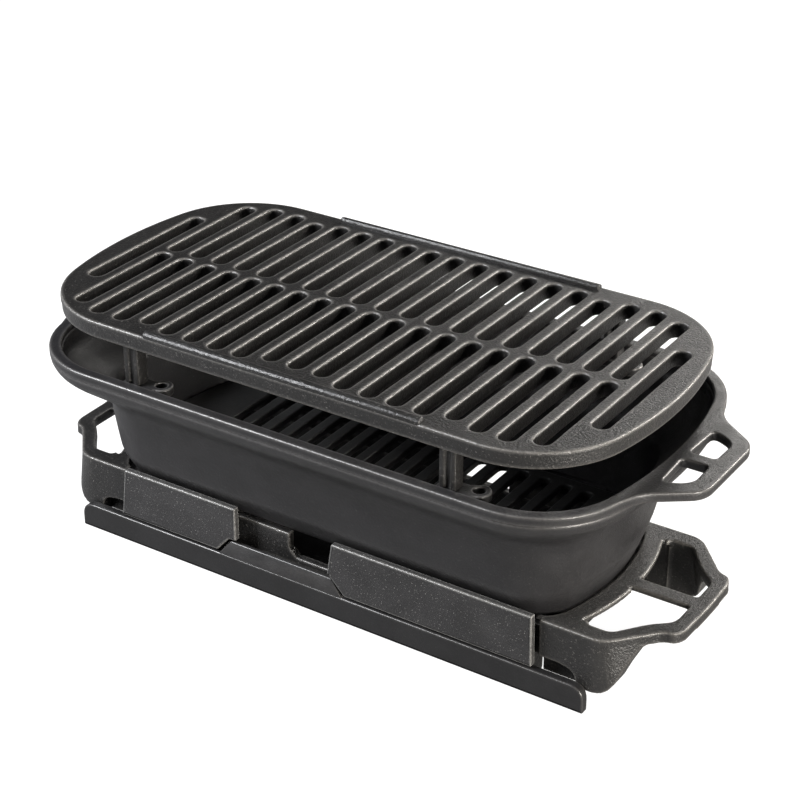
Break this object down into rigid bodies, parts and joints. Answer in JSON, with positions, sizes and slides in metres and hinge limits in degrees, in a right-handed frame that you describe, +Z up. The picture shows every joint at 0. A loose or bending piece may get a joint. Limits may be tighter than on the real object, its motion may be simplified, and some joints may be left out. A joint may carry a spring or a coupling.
{
  "type": "hibachi grill",
  "caption": "Cast-iron table-top charcoal grill: slotted cooking grate on posts over a fire bowl, on a legged base with draft doors and a slide-out ash tray.",
  "frame": {"origin": "on the ground under the middle of the base", "axes": "+X along the grill to the right, +Y to the rear, +Z up; the draft doors face -Y"},
  "size_m": [0.524, 0.252, 0.2028],
  "materials": {
    "base_iron": "satin sand-cast",
    "bowl_iron": "satin, oiled",
    "coal_grate_iron": "matt sand-cast",
    "grate_iron": "satin, ground top",
    "door_iron": "satin sand-cast",
    "tray_iron": "satin"
  },
  "bodies": {
    "base": {"base": "base_iron"},
    "fire_bowl": {"fire_bowl": "bowl_iron"},
    "coal_grate": {"coal_grate": "coal_grate_iron"},
    "cooking_grate": {"cooking_grate": "grate_iron"},
    "draft_door_left": {"draft_door_left": "door_iron"},
    "draft_door_right": {"draft_door_right": "door_iron"},
    "ash_tray": {"ash_tray": "tray_iron"}
  },
  "joints": [
    {"name": "bowl_lift", "type": "slide", "parent": "base", "child": "fire_bowl", "axis": [0, 0, 1], "range_m": [0, 0.12]},
    {"name": "coal_grate_lift", "type": "slide", "parent": "fire_bowl", "child": "coal_grate", "axis": [0, 0, 1], "range_m": [0, 0.06]},
    {"name": "cooking_grate_lift", "type": "slide", "parent": "fire_bowl", "child": "cooking_grate", "axis": [0, 0, 1], "range_m": [0, 0.15]},
    {"name": "draft_door_left_slide", "type": "slide", "parent": "base", "child": "draft_door_left", "axis": [1, 0, 0], "range_m": [-0.03, 0]},
    {"name": "draft_door_right_slide", "type": "slide", "parent": "base", "child": "draft_door_right", "axis": [1, 0, 0], "range_m": [0, 0.03]},
    {"name": "ash_tray_slide", "type": "slide", "parent": "base", "child": "ash_tray", "axis": [0, -1, 0], "range_m": [0, 0.11]}
  ]
}
